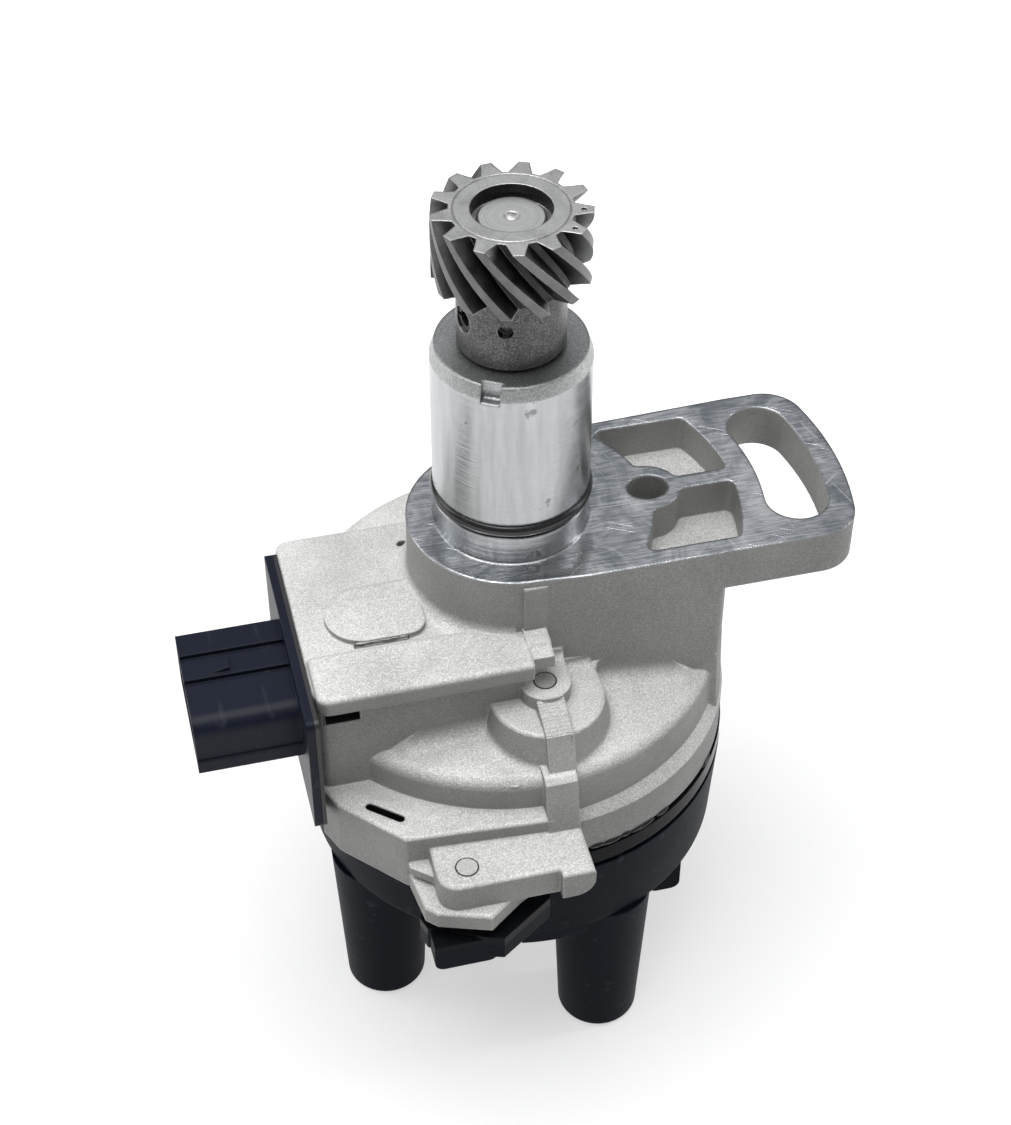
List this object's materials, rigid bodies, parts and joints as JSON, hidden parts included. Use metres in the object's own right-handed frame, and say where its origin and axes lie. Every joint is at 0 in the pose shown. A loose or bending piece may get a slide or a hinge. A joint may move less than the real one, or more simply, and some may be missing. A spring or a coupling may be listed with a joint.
{
  "type": "ignition distributor",
  "caption": "Engine ignition distributor: helical gear shaft in a cast housing with flange arm and coil box, side connector and black cap with lead towers.",
  "frame": {"origin": "on the shaft axis, at the machined flange face", "axes": "+Z along the shaft toward the drive gear, +X along the flange arm, -X toward the connector"},
  "size_m": [0.1335, 0.1168, 0.1889],
  "materials": {
    "housing": "as-cast grain, machined flange face and turned pilot tube",
    "pilot_o_ring": "smooth black rubber",
    "upper_bush": "sintered bronze",
    "oil_seal_case": "plain steel",
    "oil_seal_lip": "black rubber",
    "bearing_outer_ring": "ground steel",
    "bearing_inner_ring": "ground steel",
    "bearing_cage": "pressed steel",
    "bearing_balls": "polished steel",
    "bearing_retainer": "zinc plated steel",
    "retainer_screws": "zinc plated",
    "shaft_circlip": "black spring steel",
    "drive_shaft": "turned steel",
    "drive_gear": "dark grey gear steel",
    "gear_roll_pin": "dark spring steel",
    "thrust_washer": "oiled steel",
    "wheel_spacer": "turned steel",
    "trigger_wheel": "pressed sheet",
    "wheel_nut": "turned steel",
    "pickup": "moulded black",
    "pickup_screw": "bright zinc",
    "driver_module": "potted black",
    "driver_screws": "zinc plated",
    "coil_core": "stacked sheet",
    "coil_winding": "potted dark resin",
    "coil_pin": "brass",
    "coil_screws": "zinc plated",
    "dust_shield": "moulded black",
    "cap_seal": "black rubber",
    "cap": "satin black moulding, glossy rim",
    "cap_strip": "brass",
    "tower_terminals": "brass",
    "carbon_brush": "carbon",
    "brush_spring": "spring steel",
    "rotor_arm": "moulded dark",
    "rotor_electrode": "brass",
    "rotor_set_screw": "zinc plated",
    "cap_screws": "bright zinc",
    "plate_gasket": "black rubber",
    "connector": "moulded black",
    "connector_pins": "tinned brass"
  },
  "bodies": {
    "housing_group": {"housing": "housing", "pilot_o_ring": "pilot_o_ring", "upper_bush": "upper_bush", "oil_seal_case": "oil_seal_case", "oil_seal_lip": "oil_seal_lip", "bearing_outer_ring": "bearing_outer_ring", "bearing_retainer": "bearing_retainer", "retainer_screws": "retainer_screws", "pickup": "pickup", "pickup_screw": "pickup_screw", "driver_module": "driver_module", "driver_screws": "driver_screws", "coil_core": "coil_core", "coil_winding": "coil_winding", "coil_pin": "coil_pin", "coil_screws": "coil_screws", "dust_shield": "dust_shield", "cap_seal": "cap_seal", "cap": "cap", "cap_strip": "cap_strip", "tower_terminals": "tower_terminals", "brush_spring": "brush_spring", "cap_screws": "cap_screws", "plate_gasket": "plate_gasket", "connector": "connector", "connector_pins": "connector_pins"},
    "shaft_group": {"drive_shaft": "drive_shaft", "drive_gear": "drive_gear", "gear_roll_pin": "gear_roll_pin", "thrust_washer": "thrust_washer", "bearing_inner_ring": "bearing_inner_ring", "shaft_circlip": "shaft_circlip", "wheel_spacer": "wheel_spacer", "trigger_wheel": "trigger_wheel", "wheel_nut": "wheel_nut", "rotor_arm": "rotor_arm", "rotor_electrode": "rotor_electrode", "rotor_set_screw": "rotor_set_screw"},
    "ball_group": {"bearing_cage": "bearing_cage", "bearing_balls": "bearing_balls"},
    "brush_group": {"carbon_brush": "carbon_brush"}
  },
  "joints": [
    {"name": "shaft_turn", "type": "hinge", "parent": "housing_group", "child": "shaft_group", "pos_m": [0, 0, 0], "axis": [0, 0, 1], "continuous": true},
    {"name": "ball_set_turn", "type": "hinge", "parent": "housing_group", "child": "ball_group", "pos_m": [0, 0, 0], "axis": [0, 0, 1], "continuous": true},
    {"name": "brush_slide", "type": "slide", "parent": "housing_group", "child": "brush_group", "axis": [0, 0, -1], "range_m": [0, 0.0015], "stiffness_N_per_m": 200, "springref_m": -0.003, "deforming": ["brush_spring"]}
  ],
  "couplings": [
    {"joint": "ball_set_turn", "follows": "shaft_turn", "ratio": 0.385}
  ]
}
